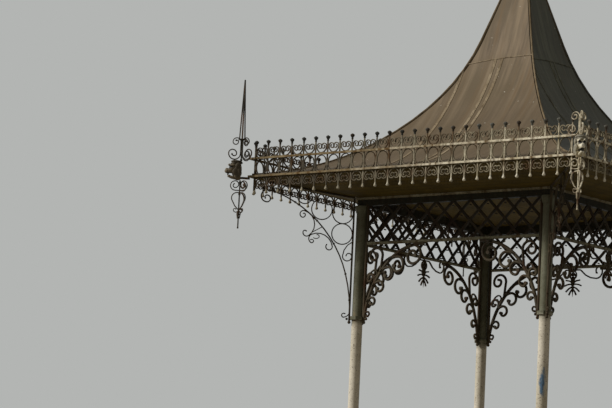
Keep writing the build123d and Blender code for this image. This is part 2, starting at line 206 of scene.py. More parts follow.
def board_lining(name, board, ring_shaped):
    """Softwood boards in old brown stain, nailed edge to edge. They show a dark joint at every board
    width, in millimetres, with grain along the boards and damp blotches. In a ring the boards follow the
    four eaves."""
    made, tree, shader, place = new_material(name)
    apart = node(tree, "SeparateXYZ", {"Vector": place})
    x, y = apart.outputs["X"], apart.outputs["Y"]
    if ring_shaped:
        flat = [node(tree, "Math", {0: c}, operation="ABSOLUTE").outputs[0] for c in (x, y)]
        run = node(tree, "Math", {0: flat[0], 1: flat[1]}, operation="MAXIMUM").outputs[0]
    else:
        run = x
    step = node(tree, "Math", {0: run, 1: 1000 / board}, operation="MULTIPLY").outputs[0]
    part = node(tree, "Math", {0: step}, operation="FRACT").outputs[0]
    away = node(tree, "Math", {0: part, 1: 0.5}, operation="SUBTRACT").outputs[0]
    edge = node(tree, "Math", {0: away}, operation="ABSOLUTE").outputs[0]
    joint = node(tree, "MapRange", {"Value": edge, "From Min": 0.45, "From Max": 0.49}).outputs["Result"]
    whole = node(tree, "Math", {0: step}, operation="FLOOR").outputs[0]
    tint = node(tree, "TexWhiteNoise", {"W": whole}, noise_dimensions="1D").outputs["Value"]
    blotch = spotted(tree, place, 380, 0.45, 0.66)
    fibres = spotted(tree, place, 9, 0.35, 0.75, 4.0, (1, 6, 6))
    colour = coats(tree, linear(BOARD), (tint, linear(OTHER_BOARD)), (blotch, linear(BLOTCH)),
                   (fibres, linear(FIBRE)), (joint, linear(BOARD_JOINT)))
    tree.links.new(colour, shader.inputs["Base Color"])
    shader.inputs["Roughness"].default_value = 0.78
    shader.inputs["Specular IOR Level"].default_value = CHALKY
    lift = node(tree, "Math", {0: 1.0, 1: joint}, operation="SUBTRACT").outputs[0]
    bump = node(tree, "Bump", {"Height": lift, "Strength": 0.6, "Distance": 0.004})
    tree.links.new(bump.outputs["Normal"], shader.inputs["Normal"])
    return made


def stonework(name, stone, other, joint, length, course, flat):
    """Squared stone with lime joints. Each block has its own tone, the faces are finely pitted and damp
    has left dark stains. Lengths and courses are in millimetres."""
    made, tree, shader, place = new_material(name)
    apart = node(tree, "SeparateXYZ", {"Vector": place})
    x, y, z = (apart.outputs[c] for c in "XYZ")
    if flat:
        along, up = x, y
    else:
        along = node(tree, "Math", {0: x, 1: y}, operation="ADD").outputs[0]
        up = z
    drawn = node(tree, "CombineXYZ", {"X": along, "Y": up})
    bricks = node(tree, "TexBrick", {
        "Vector": drawn.outputs["Vector"], "Color1": linear(stone), "Color2": linear(other),
        "Mortar": linear(joint), "Scale": 1.0, "Mortar Size": 0.004, "Mortar Smooth": 0.4,
        "Brick Width": length / 1000, "Row Height": course / 1000})
    stains = spotted(tree, place, 500, 0.45, 0.7)
    pits = spotted(tree, place, 9, 0.35, 0.7, 4.0)
    faint = node(tree, "Math", {0: pits, 1: 0.35}, operation="MULTIPLY").outputs[0]
    colour = coats(tree, bricks.outputs["Color"], (stains, linear(DAMP_STONE)), (faint, linear(STONE_PIT)))
    tree.links.new(colour, shader.inputs["Base Color"])
    shader.inputs["Roughness"].default_value = 0.88
    sunk = node(tree, "Math", {0: pits, 1: bricks.outputs["Fac"]}, operation="SUBTRACT").outputs[0]
    bump = node(tree, "Bump", {"Height": sunk, "Strength": 0.5, "Distance": 0.004})
    tree.links.new(bump.outputs["Normal"], shader.inputs["Normal"])
    return made


# Ways along which a second coat takes over: towards the near corner pale paint, upwards the olive
# of the column heads, partly painted shade, and towards the back right hip painted shade
NEAR_CORNER, UPWARDS, BACK_RIGHT = (1.0, -1.0, 0.0), (0.0, 0.0, 1.0), (1.0, 1.0, 0.0)

# Wrought iron over the columns, in dark paint gone olive and brown, its rail palest. The lattice is
# a darker copy of the same paint: painted shade.
iron = painted_iron("weathered_iron_paint", "#4c4331", "#342d21", "#402c1c", 0.52, 0.68)
# Darker copy of the iron paint for the lattice: painted shade.
painted_shade_iron = painted_iron("lattice_iron_painted_shade", "#332b1d", "#262016", "#2c2017", 0.48, 0.64)
frieze_bar_iron = painted_iron("frieze_bar_iron_paint", "#86826c", "#6f6b56", "#54442c", 0.5, 0.66)

# Ironwork at the eaves: brown and dark at the far ends, with whole, pale paint towards the near corner.
# The dark far ends are partly worn paint and partly painted shade on the sides seen from behind.
standard_iron = painted_iron("standard_iron_paint", "#4a453a", "#35332c", "#5f452f", 0.50, 0.66, 0.6,
                             ("#cfc4a9", "#aa9d7e", NEAR_CORNER, 3.4, 4.6))
# The heads carry painted shade in their eye sockets, mouth and ears.
head_iron = painted_iron("animal_head_paint", "#776b57", "#544c3d", "#6e4a33", 0.60, 0.74, 0.5,
                         ("#e9e1cb", "#cfc4a6", NEAR_CORNER, 3.4, 4.6), mottle=0.2, shade_mark="shade_mark")
cresting_iron = painted_iron("cresting_iron_paint", "#4f4736", "#3b3629", "#56412a", 0.48, 0.66, 0.6,
                             ("#c9bea2", "#958969", NEAR_CORNER, 1.9, 4.9))
scroll_iron = painted_iron("cresting_scroll_paint", "#483f2f", "#352f23", "#4a3723", 0.48, 0.66, 0.6,
                           ("#8f8469", "#5d5541", NEAR_CORNER, 1.6, 5.0))
rail_iron = painted_iron("rail_iron_paint", "#877553", "#6f6044", "#5e4727", 0.48, 0.64, 0.66,
                         ("#dcd1b6", "#c2b594", NEAR_CORNER, 2.2, 4.4))
# The drops are pale partly as paint and partly as painted light on their undersides.
drop_iron = painted_iron("drop_iron_paint", "#b0a78f", "#8f866e", "#6b5535", 0.55, 0.7, 0.6,
                         ("#e2d9c2", "#c9bea2", NEAR_CORNER, 1.6, 4.0))
# The buds are dark partly as paint and partly as painted shade on their backlit sides.
bud_iron = painted_iron("bud_iron_paint", "#3c3c37", "#31312c", "#3f3326", 0.5, 0.68, 0.6,
                        ("#64635a", "#4b4a43", NEAR_CORNER, 2.8, 4.9))

# Cast columns in cream paint below the foot collar and olive above it, with a blue smear on one.
# The dark olive is partly paint and partly painted shade under the eaves.
column_iron = painted_iron("column_iron_paint", "#d4cab5", "#c0b69f", "#8a7657", 0.62, 0.84, 0.55,
                           ("#6b6a56", "#55533f", UPWARDS, 2.78, 2.90), smeared=True, mottle=0.12)

# Painted trim of the beams and the roof
beam_paint = painted_iron("beam_paint", "#29281a", "#201f14", "#261d13", 0.5, 0.7)
moulding_paint = painted_iron("moulding_paint", "#a09880", "#857c64", "#5b4a30", 0.5, 0.7)
seam_paint = painted_iron("seam_paint", "#94846a", "#806f55", "#5f503b", 0.5, 0.7, 0.7, mottle=0.2)
# Darker seam paint for the two faces away from the sun: painted shade.
painted_shade_seam_paint = painted_iron("painted_shade_seam_paint", "#656452", "#525143", "#47412f", 0.5, 0.7, 0.7,
                                 mottle=0.2)
# The hip rolls turn darker towards the back right hip: painted shade.
hip_paint = painted_iron("hip_paint", "#7d6d54", "#66573f", "#4f412c", 0.5, 0.7, 0.7,
                         ("#45443a", "#38372e", BACK_RIGHT, 0.3, 1.2), mottle=0.3)

# The two faces away from the sun are painted darker and greener than the two lit faces: painted shade.
LIT_FACE_TONES = ("#7a6850", "#574935", "#605139", "#8a775c", "#6b5537")
PAINTED_SHADE_TONES = ("#575646", "#3c3b30", "#444337", "#605f4f", "#4a4234")
roof_paints = {"front": roof_sheet("roof_paint_front", "x", *LIT_FACE_TONES),
               "left": roof_sheet("roof_paint_left", "y", *LIT_FACE_TONES),
               "back": roof_sheet("roof_paint_back_painted_shade", "x", *PAINTED_SHADE_TONES),
               "right": roof_sheet("roof_paint_right_painted_shade", "y", *PAINTED_SHADE_TONES)}

# Boards and stone
lining_boards = board_lining("stained_boards_eaves", 115, True)
ceiling_boards = board_lining("stained_boards_ceiling", 115, False)
masonry = stonework("lime_masonry", "#a79d8a", "#988e7b", "#c0b8a8", 480, 175, False)
paving = stonework("coping_stone", "#b0a998", "#a29b8a", "#8b8474", 632, 632, True)


def dress(names, material):
    """Give CAD nodes a material in every slot."""
    for name in names:
        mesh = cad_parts[name].data
        if not mesh.materials:
            mesh.materials.append(material)
        for i in range(len(mesh.materials)):
            mesh.materials[i] = material


dress(["plinth"], masonry)
dress(["coping_slab"], paving)
dress([f"{c}_column" for c in CORNERS], column_iron)
dress([f"{s}_beam" for s in SIDES], beam_paint)
dress([f"{s}_frieze" for s in SIDES], painted_shade_iron)
dress([f"{s}_rails" for s in SIDES], rail_iron)
for side in SIDES:
    dress([f"{side}_roof"], roof_paints[side])
dress(["ceiling"], ceiling_boards)
dress(["eaves_lining"], lining_boards)
dress(["hip_rolls", "roof_finial"], hip_paint)


# ---- Bending iron: every bar lies in the XZ plane of its own bmesh, in millimetres
def ring_of(bm, start, heading, wide, deep, sides, capped=True):
    """Closed outline across a bar, ready to be swept."""
    h = radians(heading)
    across = Matrix(((sin(h), 0, cos(h), start[0]), (0, 1, 0, 0), (-cos(h), 0, sin(h), start[1]),
                     (0, 0, 0, 1)))
    size = Matrix.Diagonal((wide / 2, deep / 2, 1, 1))
    made = bmesh.ops.create_circle(bm, cap_ends=capped, segments=sides, radius=1 / cos(pi / sides),
                                   matrix=across @ size @ Matrix.Rotation(pi / sides, 4, "Z"))
    verts = made["verts"]
    return verts, list({e for v in verts for e in v.link_edges})


def last_ring(geom):
    """Vertices of a swept end, and the edges that join them."""
    verts = [g for g in geom if isinstance(g, bmesh.types.BMVert)]
    kept = set(verts)
    edges = [g for g in geom if isinstance(g, bmesh.types.BMEdge) and set(g.verts) <= kept]
    return verts, edges


def spun(bm, geom, centre, angle, steps, closed=False):
    """Sweep an outline about a point of the plane of the ironwork."""
    return bmesh.ops.spin(bm, geom=geom, cent=(centre[0], 0, centre[1]), axis=(0, -1, 0), dvec=(0, 0, 0),
                          angle=angle, steps=steps, use_merge=closed, use_normal_flip=False,
                          use_duplicate=False)


def bar(bm, start, heading, runs, wide=SCROLL_W, deep=SCROLL_D, sides=8, step=18, eye=0):
    """Bar that starts along a heading and goes through bends (radius, turn) and straights (length, None).
    An eye closes its end with a disc."""
    verts, edges = ring_of(bm, start, heading, wide, deep, sides)
    x, z = start
    h = radians(heading)
    for size, turn in runs:
        if turn is None:
            grown = bmesh.ops.extrude_edge_only(bm, edges=edges)["geom"]
            verts, edges = last_ring(grown)
            bmesh.ops.translate(bm, verts=verts, vec=(size * cos(h), 0, size * sin(h)))
            x, z = x + size * cos(h), z + size * sin(h)
            continue
        way = 1 if turn > 0 else -1
        cx, cz = x - way * size * sin(h), z + way * size * cos(h)
        swept = spun(bm, verts + edges, (cx, cz), radians(turn), max(1, round(abs(turn) / step)))
        verts, edges = last_ring(swept["geom_last"])
        h += radians(turn)
        x, z = cx + way * size * sin(h), cz - way * size * cos(h)
    bmesh.ops.edgeloop_fill(bm, edges=edges)
    if eye:
        stud(bm, (x, z), eye, deep * 1.1, sides)


def stud(bm, at, radius, deep, sides):
    """Round disc across the plane of the ironwork."""
    turned = Matrix.Translation((at[0], 0, at[1])) @ Matrix.Rotation(pi / 2, 4, "X")
    bmesh.ops.create_cone(bm, cap_ends=True, segments=sides, radius1=radius, radius2=radius, depth=deep,
                          matrix=turned)


def hoop(bm, middle, radius):
    """Closed ring in the plane of the ironwork."""
    verts, edges = ring_of(bm, (middle[0] + radius, middle[1]), 90, SCROLL_W, SCROLL_D, 8, False)
    spun(bm, verts + edges, middle, 2 * pi, 28, True)


def straight(bm, start, end, wide, deep, sides=8):
    """Straight bar between two points."""
    dx, dz = end[0] - start[0], end[1] - start[1]
    bar(bm, start, degrees(atan2(dz, dx)), [(sqrt(dx * dx + dz * dz), None)], wide, deep, sides)


def ball(bm, at, radius):
    """Round knob."""
    bmesh.ops.create_uvsphere(bm, u_segments=10, v_segments=6, radius=radius,
                              matrix=Matrix.Translation((at[0], 0, at[1])))


def on_band(foot, lean, low_r, knee, high_r, heading):
    """Point where a band has a heading: it leans at its foot, and its radius changes at the knee."""
    x, z = foot
    start = lean
    for radius, end in ((low_r, max(heading, knee)), (high_r, min(heading, knee))):
        x += radius * (sin(radians(start)) - sin(radians(end)))
        z += radius * (cos(radians(end)) - cos(radians(start)))
        start = end
        if heading >= knee:
            break
    return (x, z)


def band_runs(lean, low_r, knee, high_r, flat=0):
    """Bends of a band from its lean to its heading at the top."""
    return [(low_r, knee - lean), (high_r, flat - knee)]


def add(bm, other, place=Matrix.Identity(4)):
    """Add a copy of another bmesh at a place."""
    held = bpy.data.meshes.new("held")
    other.to_mesh(held)
    held.transform(place)
    bm.from_mesh(held)
    bpy.data.meshes.remove(held)


def copies(bm, places):
    """New bmesh with a copy of another at each place."""
    many = bmesh.new()
    for place in places:
        add(many, bm, place)
    bm.free()
    return many


def cut(bm, planes):
    """Take away what lies beyond planes (point, way) and close the cuts."""
    for point, way in planes:
        bmesh.ops.bisect_plane(bm, geom=bm.verts[:] + bm.edges[:] + bm.faces[:], plane_co=point,
                               plane_no=way, clear_outer=True, dist=0.001)
        open_edges = [e for e in bm.edges if e.is_boundary]
        if open_edges:
            bmesh.ops.holes_fill(bm, edges=open_edges, sides=0)


def piece(bm, name, material, place=Matrix.Identity(4), replaced=(), sharp=32, keep=False):
    """Object in metres from a bmesh in millimetres, put in its place and made to ride."""
    bmesh.ops.recalc_face_normals(bm, faces=bm.faces[:])
    for face in bm.faces:
        face.smooth = True
    for edge in bm.edges:
        edge.smooth = edge.calc_face_angle(0.0) < radians(sharp)
    mesh = bpy.data.meshes.new(name)
    bm.to_mesh(mesh)
    if not keep:
        bm.free()
    mesh.transform(Matrix.Scale(0.001, 4) @ place)
    mesh.materials.append(material)
    made = bpy.data.objects.new(name, mesh)
    bpy.context.scene.collection.objects.link(made)
    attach(made, "root")
    if replaced:
        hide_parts(*replaced)


def yaw(angle):
    """Rotation about the upright axis, in degrees."""
    return Matrix.Rotation(radians(angle), 4, "Z")


def side_place(angle, out):
    """From the plane of the ironwork to the outer plane of one side."""
    return yaw(angle) @ Matrix.Translation((0, -out, 0))


def corner_place(angle, out=0.0):
    """From the plane of the ironwork to an upright plane through a diagonal."""
    return yaw(angle) @ Matrix.Translation((out, 0, 0))


def on_sides(bm, name, material, out, replaced, sides=tuple(SIDES)):
    """The same piece on several sides. The name and the replaced node take the side's name."""
    for side in sides:
        piece(bm, name.format(side), material, side_place(SIDES[side], out),
              [replaced.format(side)], keep=True)
    bm.free()


FLIP = Matrix.Diagonal((-1, 1, 1, 1))

# ---- Arch brackets: a band of two arcs with curls under it and scrolls over it
ARCH_SPRING = FRIEZE_BOTTOM - BAND / 2 - on_band((0, 0), heading=0, **ARCH)[1]
ARCH_FOOT = ARCH_SPRING - 38
ARCH_BAR, ARCH_D, ARCH_BAND, ARCH_UPRIGHT = 36, 38, 44, 42
# Headings of the band at its curls, and their radii
ARCH_CURLS = ((42, 100), (54, 84), (64, 70), (74, 50))


def arch_at(heading):
    """Point of an arch band."""
    return on_band((UPRIGHT_MID, ARCH_SPRING), heading=heading, **ARCH)


arch = bmesh.new()
straight(arch, (UPRIGHT_MID - 7, ARCH_FOOT), (UPRIGHT_MID - 7, BEAM_UNDER), ARCH_UPRIGHT, ARCH_D)
bar(arch, (UPRIGHT_MID, ARCH_SPRING), ARCH["lean"], band_runs(**ARCH), ARCH_BAND, ARCH_D, step=5)
bar(arch, arch_at(14), 14, [(125, -190), (88, -170), (48, -130)], ARCH_BAR, ARCH_D, eye=26)
for heading, radius in ARCH_CURLS:
    comma = [(1.9 * radius, -50), (radius, -175), (0.55 * radius, -110)]
    bar(arch, arch_at(heading), heading, comma, ARCH_BAR * (0.7 + radius / 330), ARCH_D,
        eye=13 + radius / 7)
bar(arch, arch_at(81), 60, [(57, -50), (30, -190)], 21, ARCH_D - 4, eye=16)
bar(arch, arch_at(54), 72, [(620, 22), (102, 180), (60, 180), (34, 100)], ARCH_BAR - 3, ARCH_D - 4,
    eye=18)
bar(arch, arch_at(62), 70, [(170, 25), (58, 180), (32, 160)], ARCH_BAR - 5, ARCH_D - 4, eye=15)
bar(arch, (UPRIGHT_MID + 60, FRIEZE_BOTTOM - 470), 100, [(110, -80), (46, -200), (26, -100)], 20,
    ARCH_D - 6, eye=14)
ball(arch, (UPRIGHT_MID, ARCH_FOOT - 12), 23)
ball(arch, (UPRIGHT_MID + 34, ARCH_FOOT + 34), 20)
ball(arch, (UPRIGHT_MID + 46, ARCH_FOOT + 128), 15)
arch = copies(arch, [Matrix.Translation((POST_HALF, 0, 0)) @ FLIP,
                     Matrix.Translation((-POST_HALF, 0, 0))])
on_sides(arch, "{}_arch_ironwork", iron, POST_HALF, "{}_arch")

# ---- Lattice friezes: riveted flat bars, heavier where they cross, over a bottom rail
LATTICE_PITCH = 2 * FRIEZE_HALF / 10
FRIEZE_H = BEAM_UNDER - FRIEZE_BOTTOM
FRIEZE_MID = FRIEZE_BOTTOM + FRIEZE_H / 2
LATTICE_BAR, FRONT_D, BACK_D, RIVET_R, RIVET_D = 32, 22, 26, 9, 36
FRIEZE_RAIL = 42
lattice = bmesh.new()
reach = FRIEZE_H / 2 + 30
for way, deep in ((1, FRONT_D), (-1, BACK_D)):
    for i in range(-7, 8):
        x = i * LATTICE_PITCH
        straight(lattice, (x - way * reach, FRIEZE_MID - reach), (x + way * reach, FRIEZE_MID + reach),
                 LATTICE_BAR, deep, 4)
for i in range(-5, 6):
    for level in range(4):
        shift = 0 if level % 2 else LATTICE_PITCH / 2
        at = (i * LATTICE_PITCH + shift, FRIEZE_MID + (level - 1.5) * LATTICE_PITCH / 2)
        stud(lattice, at, RIVET_R, RIVET_D, 8)
cut(lattice, [((-FRIEZE_HALF, 0, 0), (-1, 0, 0)), ((FRIEZE_HALF, 0, 0), (1, 0, 0)),
              ((0, 0, FRIEZE_BOTTOM + 6), (0, 0, -1)), ((0, 0, BEAM_UNDER - 1), (0, 0, 1))])
on_sides(lattice, "{}_lattice", painted_shade_iron, POST_HALF, "{}_frieze")
lower = bmesh.new()
straight(lower, (-FRIEZE_HALF, FRIEZE_BOTTOM + 18), (FRIEZE_HALF, FRIEZE_BOTTOM + 18), FRIEZE_RAIL,
         ARCH_D + 4)
on_sides(lower, "{}_frieze_rail", frieze_bar_iron, POST_HALF, "{}_frieze")

# ---- Middle pendants: paired scrolls, swags and a fan of leaves, with only the stem left in front
LEAF_BEND = 230
# Leaves by their fall below the frieze, lean and length, and beads by their level and radius
LEAVES = ((196, 30, 118), (222, 8, 142), (254, -18, 132), (288, -44, 104))
BEADS = ((-150, 24), (-186, 30), (-224, 22), (-268, 17))
stem = bmesh.new()
straight(stem, (0, FRIEZE_BOTTOM), (0, FRIEZE_BOTTOM - 80), 16, SCROLL_D)
on_sides(stem, "{}_pendant_stem", iron, POST_HALF, "pendants", ["front"])
half = bmesh.new()
bar(half, (0, FRIEZE_BOTTOM - 34), 0, [(58, -180), (42, -180), (26, -100)], 17, SCROLL_D, eye=11)
bar(half, (0, FRIEZE_BOTTOM - 22), 0, [(105, None), (40, -50), (320, 50), (95, 110), (50, 200)], 20,
    SCROLL_D, eye=12)
bar(half, (0, FRIEZE_BOTTOM - 176), 0, [(30, 90), (26, 150)], 13, SCROLL_D - 4, eye=9)
for fall, lean, length in LEAVES:
    bar(half, (4, FRIEZE_BOTTOM - fall), lean, [(LEAF_BEND, -degrees(length / LEAF_BEND))], 20, 15, 4, 14)
for level, radius in BEADS:
    ball(half, (8, FRIEZE_BOTTOM + level), radius)
pendant = copies(half, [Matrix.Identity(4), FLIP])
straight(pendant, (0, FRIEZE_BOTTOM), (0, FRIEZE_BOTTOM - 330), 21, SCROLL_D)
bmesh.ops.create_cone(pendant, cap_ends=True, segments=6, radius1=2, radius2=9, depth=70,
                      matrix=Matrix.Translation((0, 0, FRIEZE_BOTTOM - 365)))
on_sides(pendant, "{}_pendant_ironwork", iron, POST_HALF, "pendants",
         ["right", "back", "left"])

# ---- Eaves brackets: rings and scrolls between an upright, the lining and a long band
FOOT_T = POST_T + UPRIGHT_MID
BRACKET_END = 3440
RING_R, SMALL_RING_R = 140, 100


def eaves_at(heading):
    """Point of an eaves band."""
    return on_band((FOOT_T, ARCH_FOOT), heading=heading, **EAVES)


def under_lining(t):
    """Middle of a bar that lies just under the sloping lining, on the diagonal."""
    share = (t / sqrt(2) - BEAM_OUT) / (EAVE_HALF - BEAM_OUT)
    return BEAM_TOP + (EAVE_LOW - BEAM_TOP) * share - UPRIGHT_BAR / 2 - FIT


bracket = bmesh.new()
top_of_foot = (FOOT_T, under_lining(FOOT_T))
straight(bracket, (FOOT_T, ARCH_FOOT), top_of_foot, UPRIGHT_BAR, SCROLL_D + 6)
straight(bracket, top_of_foot, (BRACKET_END, under_lining(BRACKET_END)), UPRIGHT_BAR, SCROLL_D)
tail = [(400, -20), (80, -180), (46, -180), (28, -120)]
bar(bracket, (FOOT_T, ARCH_FOOT), EAVES["lean"], band_runs(**EAVES, flat=EAVES_FLAT) + tail, 17, SCROLL_D,
    step=5, eye=10)
ring_t, ring_z = FOOT_T + RING_R + 10, BEAM_UNDER - 111 - 2 * RING_R
hoop(bracket, (ring_t, ring_z), RING_R)
hoop(bracket, (ring_t, ring_z + 2 * RING_R), RING_R)
hoop(bracket, (ring_t + 288, ring_z + 318), RING_R)
hoop(bracket, (ring_t + 528, under_lining(ring_t + 528) - SMALL_RING_R), SMALL_RING_R)
x, z = eaves_at(40.7)
bar(bracket, (x + 152, z - 19), 42, [(48, 151), (188, 130), (49, 137), (25, 130)], eye=8)
bar(bracket, (x + 152, z - 19), 222, [(34, -150), (17, -110)], eye=7)
x, z = eaves_at(54.8)
bar(bracket, (x + 228, z - 50), 258, [(24, 134), (63, 121), (201, 107), (44, 229)], eye=8)
bar(bracket, (x + 228, z - 50), 78, [(22, -120)], 11, SCROLL_D - 4, eye=8)
straight(bracket, eaves_at(48), (x + 258, z + 60), 11, SCROLL_D - 6)
bar(bracket, (x + 232, z - 8), 215, [(60, -70), (24, -160)], 11, SCROLL_D - 4, eye=7)
bar(bracket, (FOOT_T, BEAM_UNDER - 488), -26, [(231, -62), (62, -192), (38, -164)], eye=8)
bar(bracket, eaves_at(87), 249, [(95, 100), (27, 227)], eye=8)
ball(bracket, (FOOT_T, ARCH_FOOT - 14), 22)
ball(bracket, (FOOT_T + 34, ARCH_FOOT + 30), 17)
# Clips around the band
for heading in (30, 44, 58, 74, 84):
    x, z = eaves_at(heading)
    start = (x - 8 * cos(radians(heading)), z - 8 * sin(radians(heading)))
    bar(bracket, start, heading, [(16, None)], 26, SCROLL_D + 8, 4)
for corner, angle in CORNERS.items():
    piece(bracket, f"{corner}_bracket_ironwork", iron, corner_place(angle),
          [f"{corner}_eaves_bracket"], keep=True)
bracket.free()

# ---- Cresting: in every bay a horned scroll over the rails, an oval between them and another scroll
# hanging under them
HORN = ((82, 90), (42, 180), (27, 180), (15, 100))
OVAL = [(80, 60), (132, 60), (80, 120), (132, 60), (80, 60)]
CREST_D = 16
PALING_W, PALING_D = 16, 15
PALING_LOW, PALING_TOP = RAIL - 190, RAIL + 440
# Turned buds and drops: each band from a low to a high level over the rail, with its two radii
BUD = [(412, 423, 15, 15), (423, 457, 10, 30), (457, 471, 30, 27), (471, 483, 25, 8)]
DROP = [(-200, -188, 12, 9), (-226, -196, 22, 9), (-236, -226, 19, 22), (-243, -236, 8, 18)]
half_bay = bmesh.new()
for level, way in ((258, 1), (-17, -1)):
    bends = [(radius, way * bend) for radius, bend in HORN]
    bar(half_bay, (0, RAIL + level), 0, bends, 12.5, CREST_D, 4, 30)
bay = copies(half_bay, [Matrix.Identity(4), FLIP])
bar(bay, (0, RAIL + 13), 0, OVAL, 11, CREST_D, 4, 20)
bay_middles = [Matrix.Translation((BAY * (i + 0.5 - BAYS / 2), 0, 0)) for i in range(BAYS)]
bay_ends = [Matrix.Translation((BAY * (i - BAYS / 2), 0, 0)) for i in range(BAYS + 1)]


def turned_parts(rows):
    """Solid of turned bands on one upright line."""
    made = bmesh.new()
    for low, high, foot_r, top_r in rows:
        middle = Matrix.Translation((0, 0, RAIL + (low + high) / 2))
        bmesh.ops.create_cone(made, cap_ends=True, segments=8, radius1=foot_r, radius2=top_r,
                              depth=high - low, matrix=middle)
    return made


stick = bmesh.new()
straight(stick, (0, PALING_LOW), (0, PALING_TOP), PALING_W, PALING_D, 4)
for part, places, name, material in ((bay, bay_middles, "scrolls", scroll_iron),
                                     (stick, bay_ends, "palings", cresting_iron),
                                     (turned_parts(BUD), bay_ends, "buds", bud_iron),
                                     (turned_parts(DROP), bay_ends, "drops", drop_iron)):
    on_sides(copies(part, places), "{}_cresting_" + name, material, EAVE_HALF + 8,
             "{}_palings")

# ---- Corner standards: rod, scrolls three ways, and a spike of four rods that meet at the tip
ROD, COLLAR, SPIKE_BAR, SPIKE_PLATE = 18, 30, 15, 93
STANDARD_D = 20
ROD_LOW, SPIKE_FOOT = RAIL - 700, RAIL + 490
COLLAR_LEVELS = (-520, -250, -90, 214, 330, 470)
THREE_WAYS = (0, 135, -135)
scrolls = bmesh.new()
bar(scrolls, (14, RAIL + 400), 90, [(60, None), (54, -180), (37, -180), (21, -120)], 13, STANDARD_D,
    eye=11)
bar(scrolls, (14, RAIL + 404), -90, [(104, None), (80, 180), (54, 180), (32, 160)], 15, STANDARD_D,
    eye=12)
bar(scrolls, (4, RAIL - 199), 0, [(58, None), (64, 180), (46, 180), (28, 150)], 13, STANDARD_D, eye=9)
bar(scrolls, (0, RAIL - 228), 0, [(30, None), (74, -110), (330, -32), (45, 62), (60, None)], 14,
    STANDARD_D)
bar(scrolls, (14, RAIL - 480), -60, [(30, 160), (18, 140)], 11, STANDARD_D - 2, eye=7)
scrolls = copies(scrolls, [yaw(way) for way in THREE_WAYS])
spike_rod = bmesh.new()
bar(spike_rod, (36, SPIKE_FOOT + 10), 92.45, [(810, None)], SPIKE_BAR, SPIKE_BAR, 6)
for corner, angle in CORNERS.items():
    standard = scrolls.copy()
    straight(standard, (0, ROD_LOW), (0, RAIL - 60), ROD, ROD)
    straight(standard, (0, RAIL + 190), (0, SPIKE_FOOT), ROD, ROD)
    straight(standard, (-128, RAIL - 28), (-11, RAIL - 28), COLLAR, COLLAR)
    ball(standard, (0, ROD_LOW - 2), 13)
    for level in COLLAR_LEVELS:
        bar(standard, (0, RAIL + level - 12), 90, [(24, None)], COLLAR, COLLAR)
    if corner == NEAR:
        # The spike is lost: only a stump is left.
        for way in THREE_WAYS:
            bar(standard, (0, RAIL + 430), 92, [(70, -5)], 12, STANDARD_D)
    else:
        bar(standard, (0, SPIKE_FOOT), 90, [(10, None)], SPIKE_PLATE, SPIKE_PLATE, 4)
        for way in (0, 90, 180, 270):
            add(standard, spike_rod, yaw(way))
    piece(standard, f"{corner}_standard_ironwork", standard_iron,
          corner_place(angle, STANDARD_T), [f"{corner}_standard"])
spike_rod.free()
scrolls.free()

# ---- Animal heads: cast beasts with heavy brows and an open mouth, looking outwards
VOXEL = 5.0
# Rounded lumps of the casting: middle, with its height over the rail, half sizes and lean
MIDDLE_LUMPS = [((48, 0, 78), (64, 62, 130), 0), ((58, 0, 186), (78, 74, 24), -4),
                ((58, 0, 166), (86, 56, 22), 6), ((112, 0, 100), (52, 40, 34), 20),
                ((134, 0, 62), (76, 37, 36), 6), ((184, 0, 54), (32, 33, 30), 0),
                ((186, 0, 82), (22, 22, 14), 0), ((104, 0, -28), (64, 34, 22), -12),
                ((152, 0, -12), (24, 27, 20), 0), ((36, 0, -30), (50, 48, 34), 0)]
PAIRED_LUMPS = [((110, 36, 132), (44, 19, 17), 8), ((152, 30, 140), (22, 13, 11), -30),
                ((118, 34, 94), (17, 14, 14), 0), ((70, 60, 46), (46, 15, 50), 0),
                ((44, 66, 130), (34, 14, 44), -30), ((20, 66, 40), (30, 12, 60), 10),
                ((52, 52, -10), (38, 16, 38), 20), ((158, 20, 34), (10, 7, 18), 0),
                ((172, 17, 14), (8, 6, 16), 0)]
# Recesses that get painted shade: middle, half sizes and share of painted shade
MIDDLE_SHADE_SPOTS = [((150, 0, 16), (80, 50, 17), 1.0), ((80, 0, 182), (110, 95, 32), 0.65)]
PAIRED_SHADE_SPOTS = [((156, 29, 110), (50, 25, 21), 1.0), ((55, 70, 70), (60, 30, 95), 0.6),
                  ((214, 11, 66), (9, 8, 7), 1.0)]


def with_pairs(middle, paired):
    """Every row at its height above the ground, the paired ones on both sides."""
    rows = middle + [((x, way * y, z), size, last) for way in (1, -1) for (x, y, z), size, last in paired]
    return [((x, y, RAIL + z), size, last) for (x, y, z), size, last in rows]


head = bmesh.new()
for at, size, lean in with_pairs(MIDDLE_LUMPS, PAIRED_LUMPS):
    place = Matrix.Translation(at) @ Matrix.Rotation(radians(lean), 4, "Y") @ Matrix.Diagonal((*size, 1))
    bmesh.ops.create_uvsphere(head, u_segments=20, v_segments=12, radius=1.0, matrix=place)
casting = bpy.data.meshes.new("casting")
head.to_mesh(casting)
head.free()
carved = bpy.data.objects.new("casting", casting)
bpy.context.scene.collection.objects.link(carved)
fuse = carved.modifiers.new("fuse", "REMESH")
fuse.mode = "VOXEL"
fuse.voxel_size = VOXEL
soften = carved.modifiers.new("soften", "SMOOTH")
soften.iterations = 2
graph = bpy.context.evaluated_depsgraph_get()
cast = bpy.data.meshes.new_from_object(carved.evaluated_get(graph))
bpy.data.objects.remove(carved)
one = bmesh.new()
one.from_mesh(cast)
